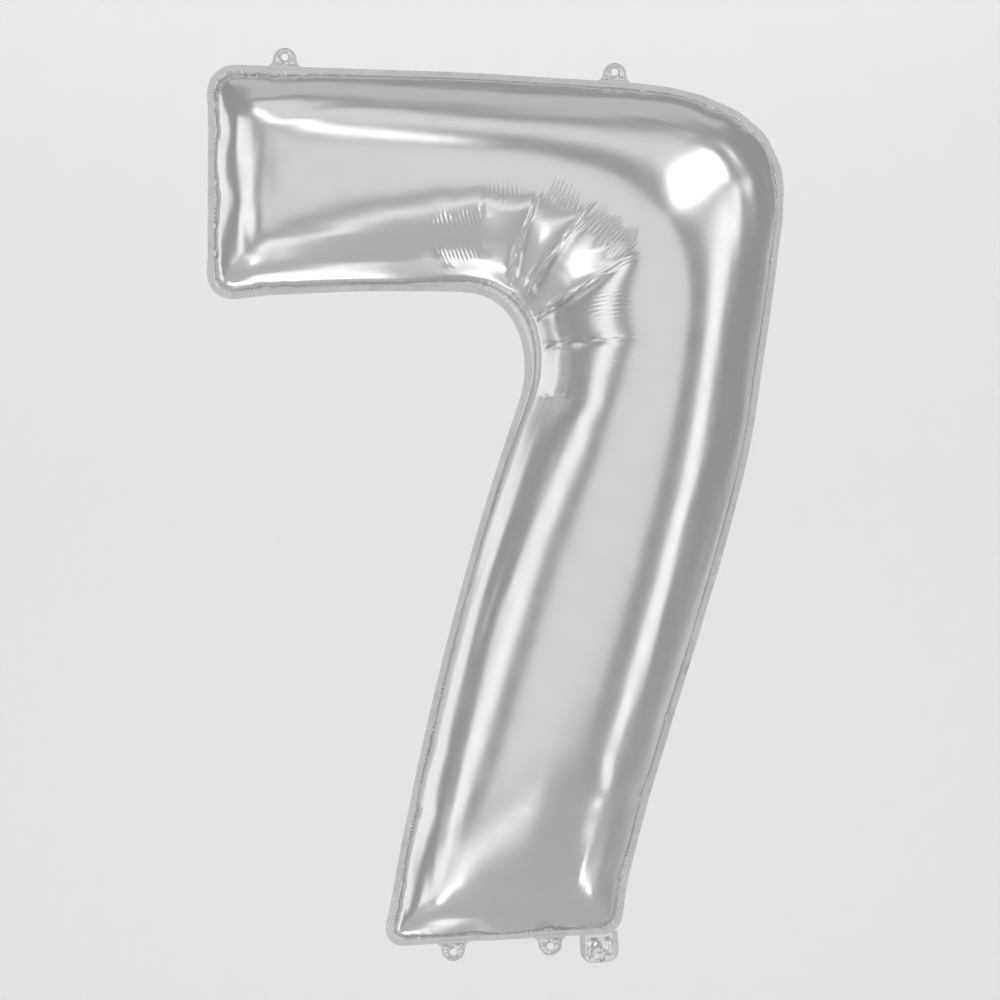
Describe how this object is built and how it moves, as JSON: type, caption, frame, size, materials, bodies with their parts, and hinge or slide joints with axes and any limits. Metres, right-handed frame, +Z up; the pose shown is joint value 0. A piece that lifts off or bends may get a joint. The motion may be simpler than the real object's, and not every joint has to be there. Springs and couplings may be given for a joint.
{
  "type": "foil number balloon",
  "caption": "Inflated metallic foil balloon in the shape of the numeral seven, with hanging tabs and a folding inflation neck.",
  "frame": {"origin": "the point that the balloon hangs from, on the middle plane, midway between the holes of the two top tabs to within a millimetre", "axes": "+Z up, +X to the right as seen from the front, and the front panel faces -Y"},
  "size_m": [0.5449, 0.2104, 0.8651],
  "materials": {
    "foil": "bright metallised film",
    "weld": "satin heat seal",
    "valve_film": "clear polyethylene film"
  },
  "bodies": {
    "envelope": {"front_panel": "foil", "back_panel": "foil", "perimeter_weld": "weld", "valve_front_film": "valve_film", "valve_back_film": "valve_film", "valve_weld_left": "weld", "valve_weld_right": "weld"},
    "tab_top_left": {"tab_top_left": "foil"},
    "tab_top_right": {"tab_top_right": "foil"},
    "tab_foot_left": {"tab_foot_left": "foil"},
    "tab_foot_middle": {"tab_foot_middle": "foil"},
    "inflation_neck": {"neck_front_ply": "foil", "neck_back_ply": "foil", "neck_weld_left": "weld", "neck_weld_right": "weld", "inlet_front_film": "valve_film", "inlet_back_film": "valve_film", "inlet_weld_left": "weld", "inlet_weld_right": "weld"}
  },
  "joints": [
    {"name": "tab_top_left_fold", "type": "hinge", "parent": "envelope", "child": "tab_top_left", "pos_m": [-0.15601, 0, -0.00047], "axis": [0.9995, 0, -0.0329], "range_deg": [-90, 90], "stiffness_Nm_per_rad": 0.0002},
    {"name": "tab_top_right_fold", "type": "hinge", "parent": "envelope", "child": "tab_top_right", "pos_m": [0.1558, 0, -0.01463], "axis": [0.9982, 0, -0.0605], "range_deg": [-90, 90], "stiffness_Nm_per_rad": 0.0002},
    {"name": "tab_foot_left_fold", "type": "hinge", "parent": "envelope", "child": "tab_foot_left", "pos_m": [0.00332, 0, -0.83105], "axis": [-0.9983, 0, -0.0579], "range_deg": [-90, 90], "stiffness_Nm_per_rad": 0.0002},
    {"name": "tab_foot_middle_fold", "type": "hinge", "parent": "envelope", "child": "tab_foot_middle", "pos_m": [0.09516, 0, -0.82572], "axis": [-0.9983, 0, -0.0579], "range_deg": [-90, 90], "stiffness_Nm_per_rad": 0.0002},
    {"name": "neck_fold", "type": "hinge", "parent": "envelope", "child": "inflation_neck", "pos_m": [0.14112, 0, -0.82366], "axis": [-0.9983, 0, -0.0579], "range_deg": [-90, 90], "stiffness_Nm_per_rad": 0.0006}
  ]
}
